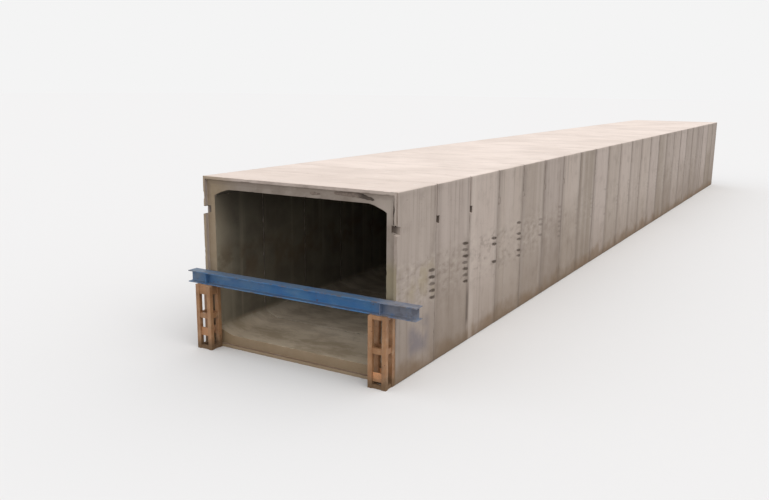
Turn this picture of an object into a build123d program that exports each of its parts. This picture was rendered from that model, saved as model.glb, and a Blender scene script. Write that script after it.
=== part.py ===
from build123d import *
import os

# Precast concrete box culvert: a straight run of rectangular box units laid end to end.
# At the open mouth a steel beam stands across the wall ends on two low trestles.
# Millimetres. X runs across the culvert, Y along it and away from the mouth, Z up.
# The origin is at the middle of the run, in the plane of the underside.

# Box section
span = 4000.0             # clear width inside
rise = 3000.0             # clear height inside
wall = 250.0              # thickness of the two side walls
slab = 250.0              # thickness of the roof slab and the floor slab
haunch_run = 380.0        # splay in each inner corner, along the slab
haunch_rise = 140.0       # splay in each inner corner, up the wall
arris = 20.0              # chamfer on the long outer edges

# Run of units
unit_count = 24
unit_pitch = 1500.0       # laid length of one unit, joint to joint
joint_gap = 5.0           # open line that shows at each joint

# Socket at the near end of each unit, tongue at its far end
socket_lip = 60.0         # thickness of the outer lip round the socket
socket_depth = 70.0
tongue_play = 5.0         # clearance between tongue and lip

# Joint seal, a flat strip between the tongue's tip and the floor of the socket
seal_thickness = 12.0
seal_width = 50.0
seal_inset = 80.0         # from the tongue's outer surface to the strip

# Pulling pockets in the outer side faces, with a narrow chase from each up to the roof
pocket_drop = 610.0       # from the top of the roof to the top of a pocket
pocket_height = 160.0     # at the wall's face
pocket_length = 130.0     # along the culvert, at the wall's face
pocket_depth = 140.0      # into the wall, short of the joint seal
pocket_draft = 30.0       # how far the end wall of a pocket leans in over its depth
pocket_floor_rise = 45.0  # how far its floor slopes up over its depth
chase_width = 30.0
chase_depth = 20.0

# What is left of the seal in the open socket, two patches at the roof and one at the right wall.
# Each point is the distance right of the centre line and the drop below the roof's top.
mouth_patches = [
    [(350.0, 125.0), (600.0, 125.0), (600.0, 195.0), (350.0, 195.0)],
    [(880.0, 65.0), (1450.0, 65.0), (1760.0, 160.0), (1700.0, 190.0), (1420.0, 165.0), (880.0, 165.0)],
    [(2150.0, 80.0), (2185.0, 80.0), (2185.0, 600.0), (2150.0, 600.0)],
]
mouth_patch_thickness = 20.0

# Pulling beam, a wide-flange steel section
beam_length = 5280.0
beam_shift = 140.0        # its middle is this far to the right of the culvert's
beam_depth = 240.0
beam_width = 240.0
beam_flange = 17.0
beam_web = 10.0
beam_root = 21.0          # rolled radius between web and flange
stiffener = 12.0          # thickness of the plates welded between the flanges
stiffener_inset = 15.0    # from the flange's edge to the plate's edge
stiffener_places = [-2050.0, 2050.0]

# Trestles, two square frames joined by short bars
trestle_height = 1340.0
trestle_width = 380.0     # across the culvert
trestle_depth = 320.0     # along it
trestle_middle = 2050.0   # from the culvert's centre line to the trestle's
post = 90.0               # square posts
post_corner = 8.0         # rounded corners of the posts
base_bar = 70.0           # height of the bar on the ground
kick_places = {"left": 280.0, "right": 130.0}     # underside of each frame's lower plate
kick_height = 170.0
kick_thickness = 20.0
cross_bottom = 650.0      # middle bar
cross_top = 755.0
head_bars = {"left": 190.0, "right": 60.0}        # height of the bar under the beam
bar_thickness = 60.0      # bars are thinner than the posts
side_bar = 60.0

# Sizes that follow from these
outer_width = span + 2 * wall
outer_height = rise + 2 * slab
run_length = unit_count * unit_pitch
mouth_y = -run_length / 2
unit_length = unit_pitch - joint_gap
tongue_length = joint_gap + socket_depth - seal_thickness


def block(x0, x1, y0, y1, z0, z1):
    """A box between two corners."""
    middle = Pos((x0 + x1) / 2, (y0 + y1) / 2, (z0 + z1) / 2)
    return middle * Box(abs(x1 - x0), abs(y1 - y0), abs(z1 - z0))


def bar_along_y(points, y0, y1):
    """A straight bar along Y with the given outline of (x, z) points."""
    outline = Polyline(*[(x, y0, z) for x, z in points], close=True)
    return extrude(make_face(outline), amount=y1 - y0, dir=(0, 1, 0))


def cut_corner_outline(inset, cut_x, cut_z):
    """The box section's outline, moved in from its outer faces, with its corners cut off."""
    half = outer_width / 2 - inset
    low = inset
    high = outer_height - inset
    return [
        (-half + cut_x, low), (half - cut_x, low),
        (half, low + cut_z), (half, high - cut_z),
        (half - cut_x, high), (-half + cut_x, high),
        (-half, high - cut_z), (-half, low + cut_z),
    ]


def bore_outline():
    """The waterway, with a splay in each corner."""
    half = span / 2
    low = slab
    high = slab + rise
    return [
        (-half + haunch_run, low), (half - haunch_run, low),
        (half, low + haunch_rise), (half, high - haunch_rise),
        (half - haunch_run, high), (-half + haunch_run, high),
        (-half, high - haunch_rise), (-half, low + haunch_rise),
    ]


def rectangle_outline(inset):
    """The box section's outline, moved in from its outer faces, with square corners."""
    half = outer_width / 2 - inset
    return [(-half, inset), (half, inset), (half, outer_height - inset), (-half, outer_height - inset)]


def pulling_pocket(side):
    """The space inside a pulling pocket, open to the unit's near end and wider towards its side."""
    face = side * outer_width / 2
    back = face - side * pocket_depth
    top = outer_height - pocket_drop
    low = top - pocket_height
    plan = Polyline(
        (face, 0, low), (face, pocket_length, low), (back, pocket_length - pocket_draft, low), (back, 0, low),
        close=True,
    )
    profile = [(face, low), (face, top), (back, top), (back, low + pocket_floor_rise)]
    return extrude(make_face(plan), amount=pocket_height, dir=(0, 0, 1)) & bar_along_y(profile, 0, pocket_length)


def culvert_unit():
    """One precast unit with its near end at Y = 0."""
    tongue_inset = socket_lip + tongue_play
    unit = bar_along_y(cut_corner_outline(0, arris, arris), 0, unit_length)
    unit += bar_along_y(rectangle_outline(tongue_inset), unit_length, unit_length + tongue_length)
    unit -= bar_along_y(bore_outline(), 0, unit_length + tongue_length)
    unit -= bar_along_y(rectangle_outline(socket_lip), 0, socket_depth)
    pocket_top = outer_height - pocket_drop
    for side in (-1, 1):
        face = side * outer_width / 2
        unit -= pulling_pocket(side)
        unit -= block(face - side * chase_depth, face, 0, chase_width, pocket_top, outer_height)
    return unit


def joint_seal():
    """One closed seal strip with its near face at Y = 0."""
    outside = socket_lip + tongue_play + seal_inset
    strip = bar_along_y(rectangle_outline(outside), 0, seal_thickness)
    return strip - bar_along_y(rectangle_outline(outside + seal_width), 0, seal_thickness)


def mouth_seal():
    """Patches of seal inside the lip of the open socket, flat against its floor."""
    floor_y = mouth_y + socket_depth
    return [
        bar_along_y([(x, outer_height - drop) for x, drop in patch], floor_y - mouth_patch_thickness, floor_y)
        for patch in mouth_patches
    ]


def pulling_beam():
    """The steel beam, with its back against the wall ends and its underside on the trestles."""
    low = trestle_height
    high = low + beam_depth
    x0 = beam_shift - beam_length / 2
    x1 = beam_shift + beam_length / 2
    back = mouth_y
    front = back - beam_width
    web_y = (front + back) / 2
    section = Pos(web_y, (low + high) / 2) * Rectangle(beam_width, beam_depth)
    hollow = beam_width / 2 - beam_web / 2 + beam_root
    for side in (-1, 1):
        middle = web_y + side * (beam_web / 2 + hollow / 2)
        section -= Pos(middle, (low + high) / 2) * RectangleRounded(hollow, beam_depth - 2 * beam_flange, beam_root)
    beam = extrude(Plane.YZ.offset(x0) * section, amount=x1 - x0)
    for place in stiffener_places:
        beam += block(
            place - stiffener / 2, place + stiffener / 2,
            front + stiffener_inset, back - stiffener_inset,
            low + beam_flange, high - beam_flange,
        )
    return beam


def square_post(x0, y0):
    """One upright of a trestle, with rounded corners."""
    upright = block(x0, x0 + post, y0, y0 + post, 0, trestle_height)
    return fillet(upright.edges().filter_by(Axis.Z), post_corner)


def trestle_frame(name, side, front):
    """One upright frame of a trestle, its outer face at Y = front and its depth one post."""
    middle = side * trestle_middle
    left = middle - trestle_width / 2
    right = middle + trestle_width / 2
    back = front + post
    bar_front = front + (post - bar_thickness) / 2
    bar_back = bar_front + bar_thickness
    plate_front = front + (post - kick_thickness) / 2
    kick_bottom = kick_places[name]
    kick_top = kick_bottom + kick_height
    head_bottom = trestle_height - head_bars[name]
    frame = square_post(left, front) + square_post(right - post, front)
    frame += block(left + post, right - post, bar_front, bar_back, 0, base_bar)
    frame += block(left + post, right - post, plate_front, plate_front + kick_thickness, kick_bottom, kick_top)
    frame += block(left + post, right - post, bar_front, bar_back, cross_bottom, cross_top)
    frame += block(left + post, right - post, bar_front, bar_back, head_bottom, trestle_height)
    return frame


def trestle_side_bars(name, side):
    """The short bars that join a trestle's two frames, at the foot, the middle and the head."""
    head_bottom = trestle_height - head_bars[name]
    near = mouth_y - trestle_depth + post
    far = mouth_y - post
    middle = side * trestle_middle
    bars = []
    for post_x in (middle - (trestle_width - post) / 2, middle + (trestle_width - post) / 2):
        for low, high in ((0, base_bar), (cross_bottom, cross_top), (head_bottom, trestle_height)):
            bars.append(block(post_x - side_bar / 2, post_x + side_bar / 2, near, far, low, high))
    return bars


def save(shape, node):
    """Write one named piece."""
    if isinstance(shape, list):
        shape = Compound(children=shape)
    export_step(shape, f"parts/{node}.step")


os.makedirs("parts", exist_ok=True)

unit = culvert_unit()
for number in range(unit_count):
    save(Pos(0, mouth_y + number * unit_pitch, 0) * unit, f"unit_{number + 1:02d}")

seal = joint_seal()
tongue_tip = unit_length + tongue_length
save(
    [Pos(0, mouth_y + number * unit_pitch + tongue_tip, 0) * seal for number in range(unit_count - 1)],
    "joint_seals",
)
save(mouth_seal(), "mouth_seal_strip")

save(pulling_beam(), "pulling_beam")
for side, name in ((-1, "left"), (1, "right")):
    save(trestle_frame(name, side, mouth_y - trestle_depth), f"trestle_{name}_front_frame")
    save(trestle_frame(name, side, mouth_y - post), f"trestle_{name}_rear_frame")
    save(trestle_side_bars(name, side), f"trestle_{name}_side_bars")
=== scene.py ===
import math

import bmesh
import bpy
from mathutils import Matrix, Vector, noise


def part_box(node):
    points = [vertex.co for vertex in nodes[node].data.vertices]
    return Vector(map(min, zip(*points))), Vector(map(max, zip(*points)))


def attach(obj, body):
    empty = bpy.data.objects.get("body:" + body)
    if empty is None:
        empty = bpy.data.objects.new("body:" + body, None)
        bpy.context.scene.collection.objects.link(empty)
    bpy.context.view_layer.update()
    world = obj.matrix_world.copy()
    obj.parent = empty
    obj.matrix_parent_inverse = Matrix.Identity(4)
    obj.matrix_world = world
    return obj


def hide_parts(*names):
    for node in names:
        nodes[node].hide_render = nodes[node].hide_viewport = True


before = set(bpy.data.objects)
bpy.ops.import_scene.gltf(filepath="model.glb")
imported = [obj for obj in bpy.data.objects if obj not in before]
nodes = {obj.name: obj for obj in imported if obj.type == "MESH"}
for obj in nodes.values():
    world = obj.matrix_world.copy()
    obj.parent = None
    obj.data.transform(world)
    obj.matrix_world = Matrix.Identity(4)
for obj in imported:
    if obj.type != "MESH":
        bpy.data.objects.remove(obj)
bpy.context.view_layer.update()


# Precast units
# Each is one ring of vibrated concrete, struck from a steel mould: smooth pale faces with vertical
# run marks, chipped arrises, a socket in the near end, a tongue on the far end and cast pockets.
first_low, first_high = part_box("unit_01")
unit_names = sorted(name for name in nodes if name.startswith("unit_"))
mouth_y = first_low.y
half_width = first_high.x
roof_top = first_high.z
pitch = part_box("unit_02")[0].y - mouth_y
tongue_tip = first_high.y - mouth_y
joint_gap = 0.005
unit_length = pitch - joint_gap
wall = 0.250
slab = 0.250
lip = 0.060
socket_depth = 0.070
tongue_inset = lip + 0.005
haunch_run = 0.380
haunch_rise = 0.140
long_arris = 0.020
end_arris = 0.003
edge_hold = 0.012
corner_steps = 6
coarse_step = 0.11
fine_step = 0.045
pocket_top = roof_top - 0.610
pocket_height = 0.160
pocket_length = 0.130
pocket_depth = 0.140
pocket_draft = 0.030
pocket_floor_rise = 0.045
chase_width = 0.030
chase_depth = 0.020
inner_arris = 0.006
tongue_corner = 0.012
tongue_draft = 0.003
tongue_edge = 0.008
socket_fillet = 0.004
socket_floor_edge = 0.030
pocket_rounding = 0.008
chase_rounding = 0.004
chip_depth = 0.009
chip_size = 0.09
mouth_chip_depth = 0.010
rub_depth = 0.002
laying_play = 0.006
sharp_edge = math.radians(28)

# Where larger pieces have broken off at the mouth, with how far each reaches and how deep it is
mouth_breaks = [
    ((2.25, 0.0, 2.87), 0.07, 0.030),
    ((2.19, 0.0, 2.86), 0.06, 0.020),
    ((2.05, 0.0, 3.50), 0.09, 0.014),
    ((1.62, 0.0, 3.44), 0.10, 0.012),
    ((-1.10, 0.0, 3.44), 0.12, 0.012),
    ((-2.25, 0.0, 3.10), 0.09, 0.018),
    ((-2.19, 0.0, 1.90), 0.08, 0.014),
]

# Seeds picked so that light, dark and soiled units and the blemishes fall roughly as in the picture
tone_seed = 125.0
tint_seed = 57.0
soil_seed = 461.0
blemish_seed = 18525.0


def srgb(red, green, blue):
    """A colour as it is seen, 0 to 255, as the linear values that a shader takes."""
    channels = []
    for value in (red, green, blue):
        share = value / 255
        channels.append(share / 12.92 if share <= 0.04045 else ((share + 0.055) / 1.055) ** 2.4)
    return (*channels, 1.0)


class Finish:
    """A material while it is made, with short ways to add nodes to it."""

    def __init__(self, name):
        self.material = bpy.data.materials.new(name)
        self.material.use_nodes = True
        self.tree = self.material.node_tree
        self.shader = self.tree.nodes["Principled BSDF"]
        self.place = self.tree.nodes.new("ShaderNodeTexCoord").outputs["Object"]
        split = self.node("SeparateXYZ", Vector=self.place)
        self.x, self.y, self.z = split.outputs
        facing = self.node("SeparateXYZ", Vector=self.node("NewGeometry").outputs["Normal"])
        self.facing_x, self.facing_y, self.facing_z = facing.outputs

    def node(self, kind, settings=None, **inputs):
        made = self.tree.nodes.new("ShaderNode" + kind)
        for key, value in (settings or {}).items():
            setattr(made, key, value)
        for key, value in inputs.items():
            self.give(made.inputs[key], value)
        return made

    def give(self, socket, value):
        if isinstance(value, bpy.types.NodeSocket):
            self.tree.links.new(value, socket)
        else:
            socket.default_value = value

    def sum(self, operation, *values):
        """One step of arithmetic."""
        made = self.tree.nodes.new("ShaderNodeMath")
        made.operation = operation
        for socket, value in zip(made.inputs, values):
            self.give(socket, value)
        return made.outputs[0]

    def fade(self, value, start, end, low=0.0, high=1.0):
        """A soft step from low to high as value goes from start to end."""
        made = self.tree.nodes.new("ShaderNodeMapRange")
        made.interpolation_type = "SMOOTHSTEP"
        for socket, given in zip(made.inputs, (value, start, end, low, high)):
            self.give(socket, given)
        return made.outputs[0]

    def both(self, *masks):
        """Where all the masks hold."""
        result = masks[0]
        for mask in masks[1:]:
            result = self.sum("MULTIPLY", result, mask)
        return result

    def blend(self, factor, under, over, mode="MIX"):
        made = self.tree.nodes.new("ShaderNodeMix")
        made.data_type = "RGBA"
        made.blend_type = mode
        self.give(made.inputs[0], factor)
        self.give(made.inputs[6], under)
        self.give(made.inputs[7], over)
        return made.outputs[2]

    def stretched(self, x, y, z):
        """Object coordinates, drawn out along the axes with a small factor."""
        return self.node("Mapping", Vector=self.place, Scale=(x, y, z)).outputs["Vector"]

    def cloud(self, scale, detail=3.0, rough=0.55, vector=None, seed=0.0):
        made = self.node("TexNoise", {"noise_dimensions": "4D"}, Vector=vector or self.place)
        made.inputs["Scale"].default_value = scale
        made.inputs["Detail"].default_value = detail
        made.inputs["Roughness"].default_value = rough
        self.give(made.inputs["W"], seed)
        return made.outputs[0]

    def chance(self, number):
        """An even random value for each whole number."""
        return self.node("TexWhiteNoise", {"noise_dimensions": "1D"}, W=number).outputs["Value"]

    def relief(self, height, depth, under=None):
        made = self.node("Bump", Height=height)
        made.inputs["Strength"].default_value = 1.0
        made.inputs["Distance"].default_value = depth
        if under is not None:
            self.give(made.inputs["Normal"], under)
        return made.outputs[0]


def concrete_finish():
    """Cast concrete of the whole run, with the marks that differ from unit to unit."""
    finish = Finish("cast_concrete")
    sum_, fade, both, blend, cloud = finish.sum, finish.fade, finish.both, finish.blend, finish.cloud
    x, y, z = finish.x, finish.y, finish.z

    run = sum_("DIVIDE", sum_("SUBTRACT", y, mouth_y), pitch)
    number = sum_("FLOOR", run)
    along = sum_("MULTIPLY", sum_("SUBTRACT", run, number), pitch)
    luck = finish.chance(sum_("ADD", number, tone_seed))
    other_luck = finish.chance(sum_("ADD", number, tint_seed))
    soil_luck = finish.chance(sum_("ADD", number, soil_seed))
    shift = sum_("MULTIPLY", number, 3.7)
    width = sum_("ABSOLUTE", x)

    outer_wall = fade(width, half_width - 0.012, half_width - 0.004)
    on_roof = both(fade(finish.facing_z, 0.45, 0.85), fade(z, roof_top - 0.03, roof_top - 0.02))
    in_bore = both(
        fade(width, half_width - wall + 0.012, half_width - wall + 0.002),
        fade(z, slab - 0.012, slab - 0.002),
        fade(z, roof_top - slab + 0.012, roof_top - slab + 0.002),
    )
    at_mouth = both(fade(y, mouth_y + 0.12, mouth_y + 0.075), fade(finish.facing_y, -0.5, -0.8))

    # Mould faces: a warm grey whose tone changes from one unit to the next, with run marks
    tone = blend(luck, srgb(158, 144, 132), srgb(211, 195, 184))
    tint = blend(other_luck, srgb(174, 160, 143), srgb(170, 156, 148))
    colour = blend(0.3, tone, tint)
    broad_runs = cloud(1.0, 2.0, 0.5, finish.stretched(0.8, 3.2, 0.10), shift)
    fine_runs = cloud(1.0, 4.0, 0.65, finish.stretched(3.0, 17.0, 0.35), shift)
    mottle = cloud(2.6, 4.0, 0.6, seed=shift)
    colour = blend(fade(broad_runs, 0.36, 0.66, 0.0, 0.45), colour, srgb(197, 183, 172))
    colour = blend(fade(fine_runs, 0.52, 0.74, 0.0, 0.45), colour, srgb(134, 120, 109))
    colour = blend(fade(mottle, 0.50, 0.75, 0.0, 0.35), colour, srgb(144, 132, 122))
    speckle_band = both(outer_wall, fade(z, 1.0, 1.5), fade(z, 2.4, 2.0), fade(run, 7.0, 3.0, 0.3, 1.0))
    speckle = cloud(1.0, 2.0, 0.5, finish.stretched(4.0, 5.0, 9.0), shift)
    colour = blend(both(speckle_band, fade(speckle, 0.50, 0.74, 0.0, 0.45)), colour, srgb(124, 111, 99))
    colour = blend(both(speckle_band, fade(speckle, 0.50, 0.28, 0.0, 0.6)), colour, srgb(200, 188, 174))

    # Damp and soil towards the foot
    low_edge = sum_("ADD", z, sum_("MULTIPLY", cloud(1.7, 4.0), -0.9))
    colour = blend(fade(low_edge, 1.4, -0.3, 0.0, 0.36), colour, srgb(128, 110, 91))
    colour = blend(fade(low_edge, 0.0, -0.42, 0.0, 0.75), colour, srgb(128, 104, 78))
    soiled = both(
        outer_wall, fade(soil_luck, 0.3, 1.0, 0.0, 0.30), fade(z, 2.5, 1.6),
        fade(mottle, 0.25, 0.55, 0.6, 1.0),
    )
    colour = blend(soiled, colour, srgb(122, 106, 86))

    # Marks on the first unit: a blue-grey stain low down and a yellowish one at mid height
    first_unit = fade(number, 0.5, 0.4)
    stain = both(
        first_unit, outer_wall, fade(cloud(2.2, 3.0, 0.5, seed=2.0), 0.28, 0.60),
        fade(z, 0.25, 0.55), fade(z, 1.15, 0.80), fade(along, 0.35, 0.6), fade(along, 1.4, 1.1),
    )
    colour = blend(sum_("MULTIPLY", stain, 0.6), colour, srgb(112, 108, 118))
    yellow = both(
        first_unit, outer_wall, fade(cloud(2.6, 3.0, 0.5, seed=4.0), 0.38, 0.68),
        fade(z, 1.2, 1.6), fade(z, 2.2, 1.9),
    )
    colour = blend(sum_("MULTIPLY", yellow, 0.45), colour, srgb(158, 142, 104))

    # Dirt that washes out of the joints and drips down from the roof, and painted shade under the top arris
    from_joint = sum_("MINIMUM", along, sum_("SUBTRACT", pitch, along))
    joint_dirt = both(
        outer_wall, fade(from_joint, 0.06, 0.0),
        fade(cloud(1.0, 3.0, 0.6, finish.stretched(1.0, 0.6, 1.3), shift), 0.42, 0.62),
        fade(z, 0.3, 2.4, 0.35, 1.0),
    )
    colour = blend(sum_("MULTIPLY", joint_dirt, 0.40), colour, srgb(104, 93, 84))
    beside_joint = sum_(
        "MINIMUM", sum_("MULTIPLY", along, 0.8), sum_("MULTIPLY", sum_("SUBTRACT", pitch, along), 1.4),
    )
    joint_band = both(
        outer_wall, fade(beside_joint, 0.25, 0.03), fade(z, 0.5, 2.6, 0.75, 1.0),
        fade(run, 0.4, 0.6), fade(run, 2.4, 2.6, 0.6, 1.0),
    )
    colour = blend(sum_("MULTIPLY", joint_band, 0.32), colour, srgb(108, 96, 87))
    open_joint = both(
        outer_wall, fade(run, 1.93, 1.98), fade(run, 2.06, 2.02),
        fade(z, 0.3, 0.55), fade(z, 1.3, 0.95, 0.35, 1.0), fade(z, 2.3, 2.0),
    )
    colour = blend(sum_("MULTIPLY", open_joint, 0.6), colour, srgb(84, 72, 62))
    pale_edge = both(outer_wall, fade(run, 2.04, 2.08), fade(run, 2.24, 2.14))
    colour = blend(sum_("MULTIPLY", pale_edge, 0.35), colour, srgb(216, 202, 189))
    drip_line = cloud(1.0, 5.0, 0.7, finish.stretched(2.0, 11.0, 0.25), sum_("ADD", shift, 9.0))
    drips = both(outer_wall, fade(drip_line, 0.52, 0.66), fade(z, roof_top - 1.6, roof_top - 0.1))
    colour = blend(sum_("MULTIPLY", drips, 0.28), colour, srgb(112, 101, 92))
    # Painted shade: a faint darker band on the side walls just under the rounded top arris
    shade_under_arris = both(outer_wall, fade(z, roof_top - 0.20, roof_top - 0.06))
    colour = blend(sum_("MULTIPLY", shade_under_arris, 0.10), colour, srgb(110, 98, 90))

    # A column of short dark blemishes near the far joint of each unit, leaning towards it low down.
    # Only the second unit's column has no gaps
    column_start = 1.305
    column_low = 1.273
    blemish_spacing = 0.134
    height_share = 0.28
    half_length = 0.165
    slope = 0.12
    fallen = sum_("ADD", z, sum_("MULTIPLY", sum_("SUBTRACT", along, column_start), slope))
    rung = sum_("DIVIDE", sum_("SUBTRACT", fallen, column_low), blemish_spacing)
    step = sum_("FLOOR", rung)
    off_step = sum_("DIVIDE", sum_("SUBTRACT", sum_("SUBTRACT", rung, step), 0.5), height_share)
    rung_luck = finish.chance(sum_("ADD", sum_("MULTIPLY", number, 13.0), sum_("ADD", step, blemish_seed)))
    lean = sum_("MULTIPLY", sum_("SUBTRACT", 2.14, z), 0.10)
    middle = sum_("ADD", column_start, sum_("ADD", lean, sum_("MULTIPLY", rung_luck, 0.03)))
    off_middle = sum_("DIVIDE", sum_("SUBTRACT", along, middle), half_length)
    reach = sum_(
        "SQRT", sum_("ADD", sum_("MULTIPLY", off_step, off_step), sum_("MULTIPLY", off_middle, off_middle)),
    )
    ragged = sum_("MULTIPLY", sum_("SUBTRACT", cloud(17.0, 4.0), 0.5), 0.9)
    second_unit = both(fade(run, 1.4, 1.5), fade(run, 2.0, 1.98))
    kept = sum_("MAXIMUM", fade(rung_luck, 0.34, 0.38), second_unit)
    blemish = both(
        outer_wall, fade(sum_("ADD", reach, ragged), 1.15, 0.55),
        fade(z, 1.25, 1.28), fade(z, 2.24, 2.2), kept, fade(run, 7.0, 3.0, 0.15, 1.0),
    )
    strength = both(
        fade(rung_luck, 0.2, 1.0, 0.6, 0.95),
        fade(cloud(9.0, 4.0, 0.65, seed=3.0), 0.30, 0.52, 0.45, 1.0),
    )
    colour = blend(both(blemish, strength), colour, srgb(68, 56, 46))

    # Painted shade, with some dirt, inside the pulling pockets: darker deeper in at the mouth, full strength
    # in the other units, and left off the upward floors
    depth = sum_("SUBTRACT", half_width, width)
    floor_slope = pocket_floor_rise / pocket_depth
    pocket_floor = sum_("ADD", pocket_top - pocket_height, sum_("MULTIPLY", depth, floor_slope))
    above_floor = sum_("SUBTRACT", z, pocket_floor)
    in_pocket = both(
        fade(depth, 0.010, 0.020), fade(depth, pocket_depth + 0.015, pocket_depth + 0.005),
        fade(above_floor, -0.010, 0.0), fade(z, pocket_top + 0.02, pocket_top + 0.01),
        fade(along, pocket_length + 0.02, pocket_length + 0.01),
        fade(finish.facing_z, 0.6, 0.3), fade(run, len(unit_names) - 0.05, len(unit_names) - 0.1),
        sum_("MAXIMUM", fade(depth, 0.02, 0.10, 0.3, 1.0), fade(number, 0.4, 0.6)),
    )
    pocket_shade = sum_("MULTIPLY", in_pocket, 0.85)

    # Trowelled roof, bleached almost white, greyer over the joints and along its edges
    roof_patches = cloud(0.55, 4.0, 0.6, seed=shift)
    roof = blend(fade(roof_patches, 0.35, 0.68), srgb(238, 222, 210), srgb(223, 207, 195))
    trowel_marks = cloud(1.0, 4.0, 0.6, finish.stretched(0.9, 4.5, 1.0), 5.0)
    roof = blend(fade(trowel_marks, 0.5, 0.72, 0.0, 0.45), roof, srgb(206, 190, 177))
    roof = blend(fade(run, 2.6, 0.4, 0.0, 0.35), roof, srgb(208, 191, 178))
    roof = blend(fade(cloud(3.2, 5.0, 0.65), 0.55, 0.75, 0.0, 0.4), roof, srgb(246, 236, 226))
    roof_joint = both(fade(from_joint, 0.07, 0.0), fade(cloud(2.0, 3.0), 0.40, 0.6))
    roof = blend(sum_("MULTIPLY", roof_joint, 0.25), roof, srgb(180, 166, 154))
    ragged_width = sum_("ADD", width, sum_("MULTIPLY", cloud(1.6, 4.0), 0.25))
    roof_side = fade(ragged_width, half_width, half_width + 0.2)
    roof = blend(sum_("MULTIPLY", roof_side, 0.3), roof, srgb(186, 172, 158))
    colour = blend(on_roof, colour, roof)

    # Inside: damp and grey-green, with run marks on the walls and dried silt. Painted light makes the bore
    # paler near the mouth, and painted shade darkens the silt deeper in and the upper walls and soffits
    deep = fade(run, 0.6, 3.0)
    bore = blend(fade(cloud(1.4, 4.0), 0.4, 0.65), srgb(122, 115, 99), srgb(106, 98, 84))
    # Painted light: the bore's faces are paler near the mouth, where daylight falls in
    bore = blend(fade(run, 0.5, 0.0, 0.0, 0.9), bore, srgb(166, 154, 132))
    bore_runs = cloud(1.0, 3.0, 0.6, finish.stretched(1.0, 4.5, 0.12), 2.0)
    bore = blend(fade(bore_runs, 0.5, 0.68, 0.0, 0.55), bore, srgb(152, 143, 123))
    bore_brown = both(fade(z, 1.0, 1.5), fade(z, 2.2, 1.8), fade(cloud(2.2, 4.0), 0.42, 0.6))
    bore = blend(sum_("MULTIPLY", bore_brown, 0.5), bore, srgb(102, 82, 58))
    silt_pattern = fade(cloud(1.0, 5.0, 0.65, finish.stretched(1.6, 3.4, 1.0), 1.0), 0.42, 0.62)
    silt = blend(silt_pattern, srgb(204, 186, 160), srgb(178, 159, 133))
    paler_silt = blend(silt_pattern, srgb(226, 209, 185), srgb(202, 184, 160))
    shaded_deep_silt = blend(silt_pattern, srgb(160, 148, 130), srgb(136, 122, 104))
    silt = blend(fade(run, 0.45, 0.9), silt, paler_silt)
    # Painted shade: the silt darkens deeper into the bore
    silt = blend(sum_("MULTIPLY", deep, 0.4), silt, shaded_deep_silt)
    # Painted shade: darker high on the walls and on the downward faces of the roof slab and haunches
    shade_under_roof = sum_("MAXIMUM", fade(z, 2.2, 3.1, 0.0, 0.45), fade(finish.facing_z, -0.4, -0.8, 0.0, 0.8))
    bore = blend(shade_under_roof, bore, srgb(52, 46, 38))
    bore = blend(fade(z, slab + 0.25, slab + 0.02), bore, silt)
    inner_joint = sum_("ABSOLUTE", sum_("SUBTRACT", along, (tongue_tip - pitch + socket_depth) / 2))
    closed_joint = both(
        fade(inner_joint, 0.022, 0.010), fade(number, 0.4, 0.6), fade(z, slab + 0.05, slab + 0.40, 0.15, 0.9),
    )
    bore = blend(closed_joint, bore, srgb(36, 32, 27))
    colour = blend(in_bore, colour, bore)

    # End face at the mouth: pale lip, greyer socket with traces of the seal, warmer on the far side
    grain = fade(cloud(3.0, 5.0, 0.65), 0.38, 0.66)
    from_outside = sum_(
        "MINIMUM", sum_("SUBTRACT", half_width, width),
        sum_("MINIMUM", sum_("SUBTRACT", roof_top, z), z),
    )
    end = blend(grain, srgb(160, 147, 135), srgb(142, 129, 117))
    # Painted light: the socket floor just under the roof's lip is made paler, lifting the lip's shade
    end = blend(fade(z, 3.30, 3.42, 0.0, 0.6), end, srgb(180, 166, 153))
    rim = fade(from_outside, lip + 0.004, lip - 0.004)
    rim_top = fade(z, roof_top - 0.12, roof_top - 0.06)
    end = blend(rim, end, blend(grain, srgb(176, 161, 149), srgb(158, 143, 131)))
    end = blend(both(rim, rim_top), end, blend(grain, srgb(197, 181, 169), srgb(177, 161, 149)))
    end = blend(both(fade(x, 1.5, 2.0), fade(z, 2.7, 3.2, 0.0, 0.7)), end, srgb(190, 176, 163))
    end = blend(fade(x, -1.2, -2.1, 0.0, 0.6), end, srgb(162, 140, 106))
    end = blend(fade(z, 1.1, 0.1, 0.0, 0.7), end, srgb(158, 133, 98))
    right_jamb = both(fade(x, 1.8, 2.0), fade(z, 1.3, 1.6), fade(z, 2.4, 2.0, 0.0, 0.6))
    end = blend(right_jamb, end, srgb(150, 138, 104))
    seal_band = both(
        fade(from_outside, lip, lip + 0.012), fade(from_outside, lip + 0.11, lip + 0.085),
        fade(z, 2.6, 3.2, 0.25, 1.0), fade(cloud(3.5, 4.0, 0.6, seed=7.0), 0.30, 0.5),
    )
    end = blend(sum_("MULTIPLY", seal_band, 0.25), end, srgb(128, 110, 98))
    colour = blend(at_mouth, colour, end)
    # Painted shade, with some dirt, laid into the pulling pockets
    colour = blend(pocket_shade, colour, srgb(84, 72, 62))

    # Pinholes of trapped air on every mould face
    bubbles = finish.node("TexVoronoi", Vector=finish.place)
    bubbles.inputs["Scale"].default_value = 21.0
    pinhole = both(fade(bubbles.outputs["Distance"], 0.16, 0.09), fade(cloud(3.0, 2.0), 0.5, 0.62))
    colour = blend(sum_("MULTIPLY", pinhole, 0.55), colour, srgb(84, 74, 66))

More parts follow.
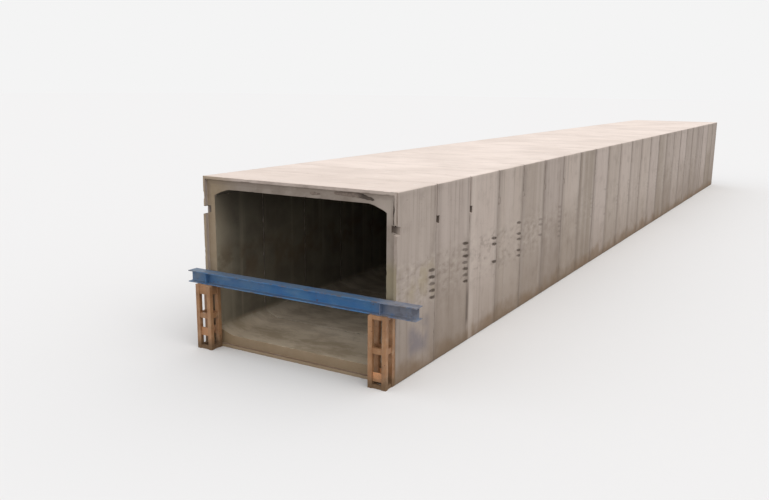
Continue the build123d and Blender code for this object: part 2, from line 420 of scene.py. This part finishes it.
    finish.give(finish.shader.inputs["Base Color"], colour)
    finish.give(finish.shader.inputs["Roughness"], fade(mottle, 0.3, 0.7, 0.78, 0.95))
    finish.shader.inputs["Specular IOR Level"].default_value = 0.3
    skin = finish.relief(cloud(38.0, 4.0, 0.6), 0.0012)
    waves = finish.relief(sum_("ADD", fine_runs, cloud(5.0, 3.0)), 0.004, skin)
    holes = finish.relief(sum_("SUBTRACT", 1.0, sum_("MAXIMUM", pinhole, blemish)), 0.005, waves)
    finish.give(finish.shader.inputs["Normal"], holes)
    return finish.material


def section_points(inset, run, rise, curve, roof_steps, wall_steps):
    """Points round the box section at this distance in from its outer faces.

    Each corner is cut off by run along the slab and rise up the wall, in a line that is straight
    where curve is 1 and a quarter ellipse where it is 2.
    """
    half = half_width - inset
    low, high = inset, roof_top - inset
    points = []
    for turn, (side, top) in enumerate(((1, 1), (-1, 1), (-1, -1), (1, -1))):
        middle_x = side * (half - run)
        middle_z = high - rise if top > 0 else low + rise
        for step in range(corner_steps + 1):
            angle = math.pi / 2 * step / corner_steps
            if turn % 2:
                angle = math.pi / 2 - angle
            points.append((
                middle_x + side * run * max(0.0, math.cos(angle)) ** (2 / curve),
                middle_z + top * rise * max(0.0, math.sin(angle)) ** (2 / curve),
            ))
        steps = wall_steps if turn % 2 else roof_steps
        corner = points[-1]
        if turn % 2:
            following = (corner[0], -corner[1] + low + high)
        else:
            following = (-corner[0], corner[1])
        for step in range(1, steps):
            share = step / steps
            points.append((
                corner[0] + (following[0] - corner[0]) * share,
                corner[1] + (following[1] - corner[1]) * share,
            ))
    return points


def pull_ring(bm, segments, stations, place):
    """A loop of points pulled along through so many stations, each point where place says."""
    order = bm.verts.layers.int.get("order") or bm.verts.layers.int.new("order")
    ring_verts = bmesh.ops.create_circle(bm, segments=segments)["verts"]
    ring_edges = list({edge for vert in ring_verts for edge in vert.link_edges})
    for number, vert in enumerate(ring_verts):
        vert[order] = number
    made = []
    for station in range(stations):
        if station:
            grown = bmesh.ops.extrude_edge_only(bm, edges=ring_edges)["geom"]
            ring_verts = [part for part in grown if isinstance(part, bmesh.types.BMVert)]
            fresh = set(ring_verts)
            ring_edges = [
                part for part in grown
                if isinstance(part, bmesh.types.BMEdge) and fresh.issuperset(part.verts)
            ]
        for vert in ring_verts:
            vert.co = place(station, vert[order])
        made += ring_verts
    bmesh.ops.remove_doubles(bm, verts=made, dist=0.0002)
    bmesh.ops.recalc_face_normals(bm, faces=bm.faces)


def unit_ring(spacing):
    """One unit with its near end at Y = 0: a loop drawn round the section and pulled along it."""
    def even(start, end):
        count = max(1, round(abs(end - start) / spacing))
        return [start + (end - start) * step / count for step in range(1, count)]

    outer = dict(run=long_arris, rise=long_arris, curve=1.3)
    square = dict(run=tongue_corner, rise=tongue_corner, curve=1.6)
    splay = dict(run=haunch_run, rise=haunch_rise, curve=1.22)
    held = end_arris + edge_hold
    floor_edge = socket_depth + inner_arris
    stations = [(0.0, end_arris, outer), (0.0, held, outer)]
    stations += [(0.0, y, outer) for y in even(held, unit_length - held)]
    stations += [(0.0, unit_length - held, outer)]
    stations += [(0.0, unit_length - end_arris, outer), (end_arris, unit_length, outer)]
    stations += [(tongue_inset, unit_length, square)]
    stations += [(tongue_inset + tongue_draft, tongue_tip - end_arris, square)]
    stations += [(tongue_inset + tongue_edge, tongue_tip, square), (wall - inner_arris, tongue_tip, splay)]
    stations += [(wall, tongue_tip - inner_arris, splay)]
    stations += [(wall, y, splay) for y in even(tongue_tip, floor_edge + edge_hold)]
    stations += [(wall, floor_edge + edge_hold, splay), (wall, floor_edge, splay)]
    stations += [(wall - inner_arris, socket_depth, splay)]
    stations += [(wall - inner_arris - edge_hold, socket_depth, splay)]
    stations += [(lip + socket_floor_edge, socket_depth, square), (lip + socket_fillet, socket_depth, square)]
    stations += [(lip, socket_depth - inner_arris, square), (lip, held, square), (lip, end_arris, square)]
    stations += [(lip - end_arris, 0.0, square), (lip - held, 0.0, square)]
    stations += [(held, 0.0, outer), (end_arris, 0.0, outer)]

    roof_steps = round(2 * half_width / spacing)
    wall_steps = round(roof_top / spacing)
    outlines = {}
    for inset, _, shape in stations:
        key = (inset, shape["curve"])
        outlines[key] = section_points(
            inset, shape["run"], shape["rise"], shape["curve"], roof_steps, wall_steps
        )
    closed = stations + stations[:1]

    def place(station, number):
        inset, y, shape = closed[station]
        x, z = outlines[(inset, shape["curve"])][number]
        return (x, y, z)

    bm = bmesh.new()
    count = len(next(iter(outlines.values())))
    pull_ring(bm, count, len(closed), place)
    return bm


def mesh_object(name, bm):
    """A finished bmesh as an object at the origin, smooth but for its real edges."""
    mesh = bpy.data.meshes.new(name)
    for face in bm.faces:
        face.smooth = True
    bm.to_mesh(mesh)
    bm.free()
    mesh.set_sharp_from_angle(angle=sharp_edge)
    made = bpy.data.objects.new(name, mesh)
    bpy.context.scene.collection.objects.link(made)
    return made


def flared(corner):
    """Where a corner of a straight block lies once the block tapers into the wall as a pocket does."""
    depth = (half_width - abs(corner.x)) / pocket_depth
    length = corner.y * (1.0 - depth * pocket_draft / pocket_length)
    drop = (pocket_top - corner.z) * (1.0 - depth * pocket_floor_rise / pocket_height)
    return Vector((corner.x, length, pocket_top - drop))


def box_mesh(bm, low, high, rounding=0.0, segments=2, lay=None):
    """A box between two corners, with its edges rounded; lay moves each corner beforehand."""
    made = bmesh.ops.create_cube(bm, size=1.0)["verts"]
    size = [high[axis] - low[axis] for axis in range(3)]
    middle = [(high[axis] + low[axis]) / 2 for axis in range(3)]
    bmesh.ops.scale(bm, vec=size, verts=made)
    bmesh.ops.translate(bm, vec=middle, verts=made)
    if lay:
        for vert in made:
            vert.co = lay(vert.co)
    if rounding:
        edges = list({edge for vert in made for edge in vert.link_edges})
        bmesh.ops.bevel(
            bm, geom=edges, offset=rounding, segments=segments, profile=0.5, affect="EDGES", material=-1,
        )
    return made


def cut_pockets(ring):
    """The pulling pocket and its chase in both side faces, cut out of a unit's mesh."""
    bm = bmesh.new()
    over = 0.05
    for side in (-1, 1):
        face = side * half_width
        inner, outer = sorted((face - side * pocket_depth, face + side * over))
        box_mesh(
            bm, (inner, -over, pocket_top - pocket_height), (outer, pocket_length, pocket_top),
            pocket_rounding, lay=flared,
        )
        inner, outer = sorted((face - side * chase_depth, face + side * over))
        box_mesh(
            bm, (inner, -over, pocket_top - 0.02), (outer, chase_width, roof_top + over),
            chase_rounding, segments=1,
        )
    cutter = mesh_object("pocket_cutter", bm)
    body = mesh_object("unit_blank", ring)
    cut = body.modifiers.new("pockets", "BOOLEAN")
    cut.object = cutter
    cut.solver = "EXACT"
    cut.use_self = True
    bpy.context.view_layer.update()
    evaluated = body.evaluated_get(bpy.context.evaluated_depsgraph_get())
    mesh = bpy.data.meshes.new_from_object(evaluated)
    for used in (cutter, body):
        bpy.data.objects.remove(used)
    return mesh


def wear(bm, number, depth):
    """Knocks and rubs on the sharp edges: each point there sinks in by its own amount."""
    bm.normal_update()
    for vert in bm.verts:
        sharp = max((edge.calc_face_angle(0.0) for edge in vert.link_edges), default=0.0)
        along_arris = abs(vert.co.x) > half_width - 0.022 and vert.co.z > roof_top - 0.022
        if sharp < math.radians(24) and not along_arris:
            continue
        spot = vert.co / chip_size + Vector((0.0, number * 31.0, 0.0))
        knock = max(0.0, noise.noise(spot) - 0.22) * depth * 2.4
        rub = abs(noise.noise(spot * 0.35 + Vector((7.0, 0.0, 0.0)))) * rub_depth
        vert.co -= vert.normal * (knock + rub)


def break_out(bm, places):
    """Larger pieces that have broken off near the given places, each with its reach and depth."""
    bm.normal_update()
    for place, reach, depth in places:
        centre = Vector(place)
        for vert in bm.verts:
            near = 1.0 - (vert.co - centre).length / reach
            if near > 0.0:
                rough = 0.7 + 0.6 * abs(noise.noise(vert.co * 40.0))
                vert.co -= vert.normal * depth * rough * min(1.0, 2.0 * near)


def laid_aside(number):
    """How far a unit was laid out of line; the first one is true."""
    return noise.noise(Vector((number * 7.3 + 0.5, 0.0, 0.0))) * laying_play * (number > 0)


concrete = concrete_finish()
coarse_blank = cut_pockets(unit_ring(coarse_step))
fine_blank = cut_pockets(unit_ring(fine_step))
for number, name in enumerate(unit_names):
    at_the_mouth = number == 0
    bm = bmesh.new()
    bm.from_mesh(fine_blank if at_the_mouth else coarse_blank)
    wear(bm, number, mouth_chip_depth if at_the_mouth else chip_depth)
    if at_the_mouth:
        break_out(bm, mouth_breaks)
    bmesh.ops.translate(bm, vec=(laid_aside(number), mouth_y + number * pitch, 0.0), verts=bm.verts)
    unit = mesh_object(f"cast_{name}", bm)
    unit.data.materials.append(concrete)
    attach(unit, "root")
    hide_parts(name)


# Pocket mortar
# Once a unit is pulled home its pockets and chases are plugged with trowelled mortar, which lies a
# little below the wall's face. Those of the last units laid, next to the mouth, are still open.
open_units = 3
plug_recess = 0.005
plug_gap = 0.002
plug_depth = 0.055
plug_rounding = 0.006
chase_plug_rounding = 0.003


def mortar_finish():
    finish = Finish("trowelled_mortar")
    grain = finish.cloud(9.0, 5.0, 0.65)
    colour = finish.blend(finish.fade(grain, 0.36, 0.66), srgb(172, 158, 147), srgb(142, 129, 118))
    finish.give(finish.shader.inputs["Base Color"], colour)
    finish.give(finish.shader.inputs["Roughness"], finish.fade(grain, 0.3, 0.7, 0.85, 0.98))
    finish.shader.inputs["Specular IOR Level"].default_value = 0.3
    finish.give(finish.shader.inputs["Normal"], finish.relief(finish.cloud(40.0, 4.0), 0.003))
    return finish.material


bm = bmesh.new()
for number in range(open_units, len(unit_names)):
    home = Vector((laid_aside(number), mouth_y + number * pitch, 0.0))
    for side in (-1, 1):
        face = side * (half_width - plug_recess)
        inner, outer = sorted((side * (half_width - plug_depth), face))
        box_mesh(
            bm, (inner, plug_gap, pocket_top - pocket_height + plug_gap),
            (outer, pocket_length - plug_gap, pocket_top - plug_gap),
            plug_rounding, lay=lambda corner: flared(corner) + home,
        )
        inner, outer = sorted((side * (half_width - chase_depth + plug_gap), face))
        box_mesh(
            bm, (inner, plug_gap, pocket_top - 0.03), (outer, chase_width - plug_gap, roof_top - 0.006),
            chase_plug_rounding, lay=lambda corner: corner + home,
        )
mortar = mesh_object("pocket_mortar", bm)
mortar.data.materials.append(mortar_finish())
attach(mortar, "root")


# Joint seals
# A flat bitumen strip is pressed between each tongue and the floor of the next socket, so only
# its dark edge is ever seen. At the mouth the strip has been torn off but for ragged remnants.
socket_floor = mouth_y + socket_depth
remnant_step = 0.012
remnant_sides = 10

# Places along each remnant: distance right of the centre line, height, and half its width there
roof_remnants = [
    [(0.35, 3.345, 0.018), (0.44, 3.340, 0.030), (0.60, 3.338, 0.012)],
    [
        (0.88, 3.385, 0.020), (1.10, 3.380, 0.040), (1.43, 3.384, 0.048),
        (1.62, 3.345, 0.034), (1.76, 3.320, 0.016),
    ],
]
roof_remnant_thickness = 0.012
wall_remnant = [(2.176, 3.38, 0.010), (2.172, 3.20, 0.016), (2.174, 3.05, 0.012), (2.172, 2.90, 0.015)]
wall_remnant_thickness = 0.060


def bitumen_finish():
    finish = Finish("bitumen_strip")
    skin = finish.cloud(22.0, 5.0, 0.65)
    dusty = finish.blend(finish.fade(skin, 0.4, 0.66), srgb(122, 106, 95), srgb(150, 134, 121))
    bare = finish.blend(finish.fade(skin, 0.4, 0.66), srgb(66, 56, 48), srgb(92, 79, 68))
    colour = finish.blend(finish.fade(finish.x, 1.36, 1.52), dusty, bare)
    finish.give(finish.shader.inputs["Base Color"], colour)
    finish.give(finish.shader.inputs["Roughness"], finish.fade(skin, 0.3, 0.7, 0.6, 0.9))
    finish.give(finish.shader.inputs["Normal"], finish.relief(skin, 0.004))
    return finish.material


def lay_remnant(bm, path, thickness):
    """A ragged flat strip on the socket floor, along a path of places with their half widths."""
    places = [Vector(point) for point in path]
    line = [places[0]]
    for start, end in zip(places, places[1:]):
        count = max(1, round((end - start).length / remnant_step))
        line += [start.lerp(end, step / count) for step in range(1, count + 1)]
    last = len(line) - 1

    def place(station, number):
        spot = line[station]
        ahead = line[min(station + 1, last)] - line[max(station - 1, 0)]
        heading = Vector((ahead.x, ahead.y)).normalized()
        taper = min(1.0, 0.3 * min(station, last - station))
        angle = math.tau * number / remnant_sides
        across = math.cos(angle) * spot.z * taper
        side = math.copysign(5.0, across)
        across *= 1.0 + 0.5 * noise.noise(Vector((spot.x * 14, spot.y * 14, side)))
        out = math.sin(angle) * thickness * taper
        out *= 1.0 + 0.5 * noise.noise(Vector((spot.x * 18, spot.y * 18, number)))
        return (spot.x - heading.y * across, socket_floor - max(-0.002, out), spot.y + heading.x * across)

    pull_ring(bm, remnant_sides, len(line), place)


bitumen = bitumen_finish()
for name in ("joint_seals", "mouth_seal_strip"):
    nodes[name].data.materials.clear()
    nodes[name].data.materials.append(bitumen)
bm = bmesh.new()
for path in roof_remnants:
    lay_remnant(bm, path, roof_remnant_thickness)
lay_remnant(bm, wall_remnant, wall_remnant_thickness)
remnant_strip = mesh_object("torn_seal", bm)
remnant_strip.data.materials.append(bitumen)
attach(remnant_strip, "root")
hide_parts("mouth_seal_strip")


# Pulling beam
# A wide-flange steel section, hot rolled and painted blue, with plates welded in between its
# flanges. The paint is scuffed on the edges, and dust and mud lie on the upper faces.
beam_low, beam_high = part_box("pulling_beam")
beam_flange = 0.017
beam_web = 0.010
stiffener = 0.012
stiffener_places = [-2.05, 2.05]
beam_middle_y = (beam_low.y + beam_high.y) / 2
beam_half_width = (beam_high.y - beam_low.y) / 2
weld_radius = 0.005
weld_step = 0.006
weld_sides = 6
steel_rounding = 0.003


def beam_finish():
    finish = Finish("worn_blue_paint")
    fade, blend, cloud, both = finish.fade, finish.blend, finish.cloud, finish.both
    x, z = finish.x, finish.z
    colour = blend(fade(cloud(1.6, 3.0), 0.35, 0.65), srgb(52, 108, 162), srgb(70, 122, 166))
    faded = fade(cloud(1.0, 5.0, 0.65, finish.stretched(1.5, 6.0, 6.0)), 0.5, 0.68, 0.0, 0.6)
    colour = blend(faded, colour, srgb(104, 138, 168))
    upward = fade(finish.facing_z, 0.5, 0.9)
    dust = both(upward, fade(cloud(1.0, 5.0, 0.65, finish.stretched(2.5, 9.0, 1.0)), 0.34, 0.60, 0.2, 0.7))
    colour = blend(dust, colour, srgb(104, 108, 116))
    muddy_end = both(fade(x, 1.75, 2.25), fade(cloud(5.0, 5.0, 0.65), 0.34, 0.5, 0.35, 0.9))
    colour = blend(muddy_end, colour, srgb(130, 130, 136))
    caked = both(fade(x, 2.2, 2.45), fade(cloud(7.0, 5.0, 0.65, seed=4.0), 0.46, 0.60, 0.0, 0.5))
    colour = blend(caked, colour, srgb(88, 86, 96))
    colour = blend(fade(x, -0.2, -1.0, 0.0, 0.22), colour, srgb(112, 118, 124))
    pale_end = both(fade(x, -2.1, -2.4), fade(cloud(4.0, 4.0), 0.35, 0.6, 0.2, 0.8))
    colour = blend(pale_end, colour, srgb(120, 132, 146))
    from_middle = finish.sum("ABSOLUTE", finish.sum("SUBTRACT", finish.y, beam_middle_y))
    at_edge = fade(from_middle, beam_half_width - 0.022, beam_half_width - 0.004)
    lost = both(at_edge, fade(cloud(1.0, 6.0, 0.7, finish.stretched(7.0, 16.0, 16.0)), 0.50, 0.58))
    colour = blend(finish.sum("MULTIPLY", lost, 0.8), colour, srgb(104, 92, 84))
    scuffs = cloud(1.0, 6.0, 0.75, finish.stretched(5.0, 20.0, 34.0), 6.0)
    colour = blend(fade(scuffs, 0.60, 0.66, 0.0, 0.6), colour, srgb(134, 152, 172))
    rust = fade(cloud(9.0, 6.0, 0.7, seed=3.0), 0.60, 0.68, 0.0, 0.85)
    colour = blend(rust, colour, srgb(96, 64, 46))
    finish.give(finish.shader.inputs["Base Color"], colour)
    finish.give(finish.shader.inputs["Roughness"], fade(cloud(6.0, 4.0), 0.3, 0.7, 0.45, 0.75))
    worn_skin = finish.relief(cloud(16.0, 4.0), 0.0015)
    flaked = finish.relief(finish.sum("SUBTRACT", 1.0, finish.sum("MAXIMUM", lost, rust)), 0.0006, worn_skin)
    finish.give(finish.shader.inputs["Normal"], flaked)
    return finish.material


def lay_weld(bm, start, end):
    """A rippled weld bead along the corner between two plates."""
    start, end = Vector(start), Vector(end)
    heading = (end - start).normalized()
    aside = heading.orthogonal().normalized()
    other = heading.cross(aside)
    count = max(3, round((end - start).length / weld_step))

    def place(station, number):
        middle = start.lerp(end, station / count)
        reach = weld_radius * (1.0 + 0.15 * math.cos(station * 2.4) + 0.5 * noise.noise(middle * 60.0))
        if station in (0, count):
            reach = 0.0
        angle = math.tau * number / weld_sides
        return middle + (aside * math.cos(angle) + other * math.sin(angle)) * reach

    pull_ring(bm, weld_sides, count + 1, place)


def soften(made, width):
    """Rounds the sharp edges of a steel piece a little."""
    rounded = made.modifiers.new("rounded", "BEVEL")
    rounded.width = width
    rounded.segments = 2
    rounded.limit_method = "ANGLE"
    rounded.angle_limit = math.radians(40)


beam_paint = beam_finish()
nodes["pulling_beam"].data.materials.clear()
nodes["pulling_beam"].data.materials.append(beam_paint)
soften(nodes["pulling_beam"], steel_rounding)
bm = bmesh.new()
inside_low = beam_low.z + beam_flange
inside_high = beam_high.z - beam_flange
for plate_x in stiffener_places:
    for side in (-1, 1):
        face_x = plate_x + side * stiffener / 2
        for way in (-1, 1):
            web_y = beam_middle_y + way * beam_web / 2
            edge_y = beam_middle_y + way * (beam_half_width - 0.018)
            lay_weld(bm, (face_x, web_y, inside_low + 0.02), (face_x, web_y, inside_high - 0.02))
            for level_z in (inside_low, inside_high):
                lay_weld(bm, (face_x, web_y + way * 0.02, level_z), (face_x, edge_y, level_z))
beam_welds = mesh_object("beam_welds", bm)
beam_welds.data.materials.append(beam_paint)
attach(beam_welds, "root")


# Trestles
# Each is two square frames of steel tube and flat bar, welded up and joined by short bars.
# Their orange primer has faded towards brown, with patches of rust and mud at the feet.
foot_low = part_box("trestle_right_front_frame")[0]
foot_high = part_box("trestle_right_rear_frame")[1]
post = 0.090
trestle_middle = (foot_low.x + foot_high.x) / 2
trestle_middle_y = (foot_low.y + foot_high.y) / 2
frame_offset = (foot_high.y - foot_low.y - post) / 2
between_posts = foot_high.x - foot_low.x - 2 * post
plate_thickness = 0.020
bar_thickness = 0.060

# The bars of each trestle's frames: underside, top and thickness
bars = {
    "left": [
        (0.0, 0.070, bar_thickness), (0.280, 0.450, plate_thickness),
        (0.650, 0.755, bar_thickness), (1.150, 1.340, bar_thickness),
    ],
    "right": [
        (0.0, 0.070, bar_thickness), (0.130, 0.300, plate_thickness),
        (0.650, 0.755, bar_thickness), (1.280, 1.340, bar_thickness),
    ],
}


def trestle_finish():
    finish = Finish("faded_orange_paint")
    fade, blend, cloud, both = finish.fade, finish.blend, finish.cloud, finish.both
    colour = blend(fade(cloud(2.4, 4.0), 0.36, 0.66), srgb(174, 129, 90), srgb(153, 110, 74))
    faded = fade(cloud(1.0, 5.0, 0.65, finish.stretched(7.0, 7.0, 4.0)), 0.48, 0.66, 0.0, 0.7)
    colour = blend(faded, colour, srgb(182, 146, 112))

    # The flat lower plates are paler than the rest, most of all on the right trestle
    from_centre = finish.sum("ABSOLUTE", finish.x)
    from_middle = finish.sum("ABSOLUTE", finish.sum("SUBTRACT", from_centre, trestle_middle))
    from_between = finish.sum("ABSOLUTE", finish.sum("SUBTRACT", finish.y, trestle_middle_y))
    from_frame = finish.sum("ABSOLUTE", finish.sum("SUBTRACT", from_between, frame_offset))
    plate = both(
        fade(from_middle, between_posts / 2, between_posts / 2 - 0.002),
        fade(from_frame, plate_thickness / 2 + 0.002, plate_thickness / 2 + 0.001),
        fade(finish.sum("ABSOLUTE", finish.facing_y), 0.5, 0.9), fade(finish.x, -0.5, 0.5, 0.3, 1.0),
    )
    colour = blend(finish.sum("MULTIPLY", plate, 0.90), colour, srgb(232, 166, 116))

    grime = fade(cloud(5.0, 5.0, 0.6, seed=8.0), 0.52, 0.70, 0.0, 0.55)
    colour = blend(grime, colour, srgb(120, 92, 66))
    flakes = fade(cloud(26.0, 5.0, 0.7, seed=3.0), 0.60, 0.64)
    patches = fade(cloud(4.0, 3.0, seed=5.0), 0.44, 0.60)
    rust = both(flakes, patches)
    colour = blend(finish.sum("MULTIPLY", rust, 0.9), colour, srgb(92, 56, 36))
    ragged_height = finish.sum("ADD", finish.z, finish.sum("MULTIPLY", cloud(8.0, 4.0), -0.3))
    mud = fade(ragged_height, 0.16, -0.08, 0.0, 0.9)
    colour = blend(mud, colour, srgb(112, 88, 62))
    finish.give(finish.shader.inputs["Base Color"], colour)
    paint_roughness = fade(cloud(8.0, 4.0), 0.3, 0.7, 0.38, 0.66)
    roughness = finish.sum("MAXIMUM", paint_roughness, finish.sum("MULTIPLY", mud, 0.9))
    finish.give(finish.shader.inputs["Roughness"], roughness)
    dents = finish.relief(cloud(14.0, 4.0), 0.0015)
    flaked = finish.relief(finish.sum("SUBTRACT", 1.0, rust), 0.0006, dents)
    finish.give(finish.shader.inputs["Normal"], flaked)
    return finish.material


trestle_paint = trestle_finish()
for name in sorted(nodes):
    if name.startswith("trestle_"):
        nodes[name].data.materials.clear()
        nodes[name].data.materials.append(trestle_paint)
        soften(nodes[name], steel_rounding)

for side, heights in bars.items():
    bm = bmesh.new()
    for frame_name in ("front", "rear"):
        low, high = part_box(f"trestle_{side}_{frame_name}_frame")
        middle_y = (low.y + high.y) / 2
        for bottom, top, thickness in heights:
            for post_x in (low.x + post, high.x - post):
                for way in (-1, 1):
                    face_y = middle_y + way * thickness / 2
                    lay_weld(bm, (post_x, face_y, bottom + 0.004), (post_x, face_y, top - 0.004))
    welds = mesh_object(f"trestle_{side}_welds", bm)
    welds.data.materials.append(trestle_paint)
    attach(welds, "root")


# Stage
# A wide pale floor under soft daylight, and the camera where the picture was taken from.
floor_size = 900.0
camera_place = (8.788, -29.410, 5.250)
camera_yaw = math.radians(-30.732)
camera_pitch = math.radians(11.828)
camera_roll = math.radians(0.488)
camera_lens = 36.299
floor_for_soft_light = (0.42, 0.41, 0.40, 1.0)
floor_seen = (0.815, 0.80, 0.778, 1.0)
sky_for_soft_light = (0.86, 0.88, 0.92, 1.0)
sky_seen = (0.905, 0.905, 0.905, 1.0)
sun_strength = 0.9
sun_spread = math.radians(60)
sun_colour = (1.0, 0.97, 0.94)
towards_sun = (0.55, -0.15, 1.0)


def seen_directly(tree):
    """One where a ray comes from the camera, a mirror or glass, and nought for soft light."""
    path = tree.nodes.new("ShaderNodeLightPath")
    total = path.outputs["Is Camera Ray"]
    for output in ("Is Glossy Ray", "Is Transmission Ray"):
        either = tree.nodes.new("ShaderNodeMath")
        either.operation = "MAXIMUM"
        tree.links.new(total, either.inputs[0])
        tree.links.new(path.outputs[output], either.inputs[1])
        total = either.outputs[0]
    return total


bm = bmesh.new()
bmesh.ops.create_grid(bm, x_segments=1, y_segments=1, size=floor_size / 2)
floor = mesh_object("stage_floor", bm)
floor_finish = Finish("pale_floor")
floor_colour = floor_finish.blend(seen_directly(floor_finish.tree), floor_for_soft_light, floor_seen)
floor_finish.give(floor_finish.shader.inputs["Base Color"], floor_colour)
floor_finish.shader.inputs["Roughness"].default_value = 1.0
floor_finish.shader.inputs["Specular IOR Level"].default_value = 0.0
floor.data.materials.append(floor_finish.material)

world = bpy.data.worlds.new("soft_daylight")
bpy.context.scene.world = world
world.use_nodes = True
sky = world.node_tree.nodes["Background"]
shade = world.node_tree.nodes.new("ShaderNodeMix")
shade.data_type = "RGBA"
world.node_tree.links.new(seen_directly(world.node_tree), shade.inputs[0])
shade.inputs[6].default_value = sky_for_soft_light
shade.inputs[7].default_value = sky_seen
world.node_tree.links.new(shade.outputs[2], sky.inputs["Color"])
sky.inputs["Strength"].default_value = 1.0

sun = bpy.data.lights.new("soft_sun", "SUN")
sun.energy = sun_strength
sun.angle = sun_spread
sun.color = sun_colour
sun_object = bpy.data.objects.new("soft_sun", sun)
sun_object.rotation_mode = "QUATERNION"
sun_object.rotation_quaternion = Vector(towards_sun).to_track_quat("Z", "Y")
bpy.context.scene.collection.objects.link(sun_object)

camera = bpy.data.cameras.new("camera")
camera.sensor_width = 36.0
camera.lens = camera_lens
camera.clip_end = 2000.0
camera_object = bpy.data.objects.new("camera", camera)
bpy.context.scene.collection.objects.link(camera_object)
forward = Vector((
    math.sin(camera_yaw) * math.cos(camera_pitch),
    math.cos(camera_yaw) * math.cos(camera_pitch),
    -math.sin(camera_pitch),
))
level = Vector((math.cos(camera_yaw), -math.sin(camera_yaw), 0.0))
upright = level.cross(forward)
right = math.cos(camera_roll) * level + math.sin(camera_roll) * upright
up = -math.sin(camera_roll) * level + math.cos(camera_roll) * upright
camera_object.matrix_world = Matrix((
    (right.x, up.x, -forward.x, camera_place[0]),
    (right.y, up.y, -forward.y, camera_place[1]),
    (right.z, up.z, -forward.z, camera_place[2]),
    (0.0, 0.0, 0.0, 1.0),
))
bpy.context.scene.camera = camera_object
bpy.context.scene.view_settings.view_transform = "Standard"
